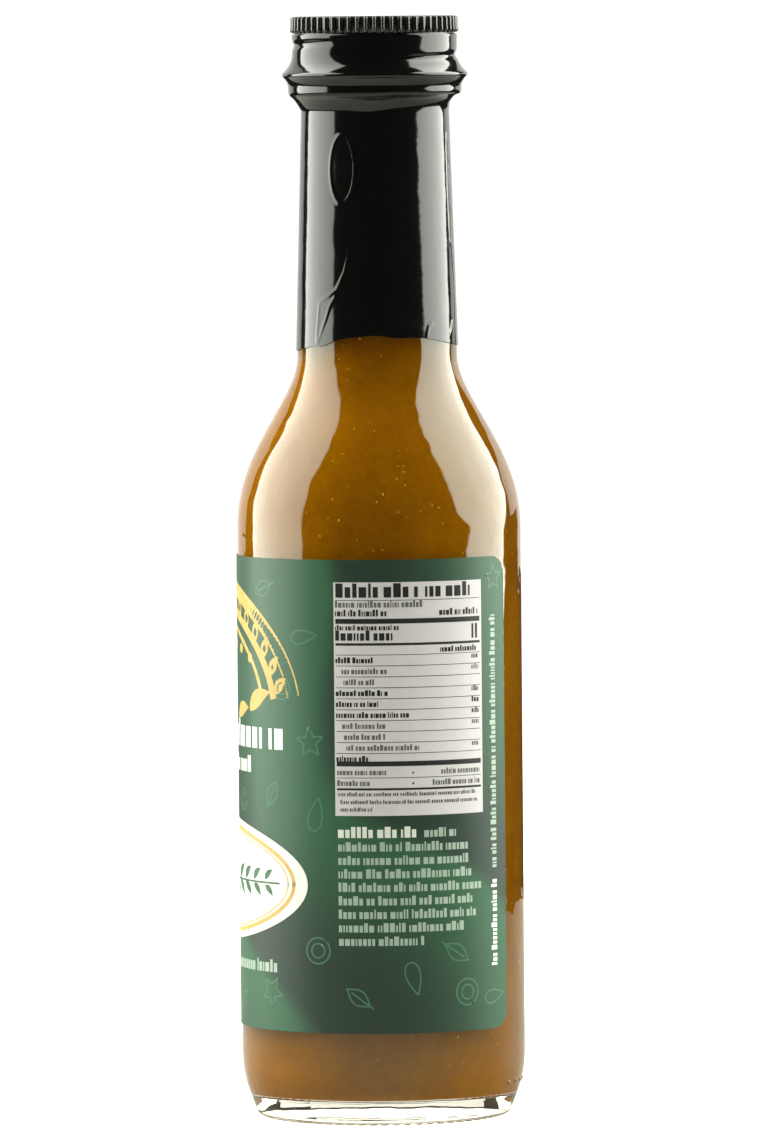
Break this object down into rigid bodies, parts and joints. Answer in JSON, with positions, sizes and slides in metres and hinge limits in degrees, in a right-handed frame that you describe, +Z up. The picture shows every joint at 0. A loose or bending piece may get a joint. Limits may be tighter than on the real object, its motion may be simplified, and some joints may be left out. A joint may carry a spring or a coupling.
{
  "type": "hot sauce bottle",
  "caption": "Slim long-necked clear glass bottle of amber hot sauce with a black screw cap, a black shrink band and a green wrap label.",
  "frame": {"origin": "middle of the foot, at the height of the surface the bottle stands on", "axes": "+Z up along the bottle's axis; -Y towards the label's information side, which the picture shows; +X to the right of it"},
  "size_m": [0.0462, 0.0464, 0.1784],
  "materials": {
    "clear_glass": "clear, smooth, fire polished",
    "hot_sauce": "thick amber sauce with pepper flecks",
    "black_enamel": "gloss black enamel on knurled metal",
    "black_film": "gloss black shrink film with wrinkles",
    "label_paper": "green printed satin paper"
  },
  "bodies": {
    "root": {"glass_bottle": "clear_glass", "sauce": "hot_sauce", "cap": "black_enamel", "shrink_band": "black_film", "label": "label_paper"}
  },
  "joints": []
}
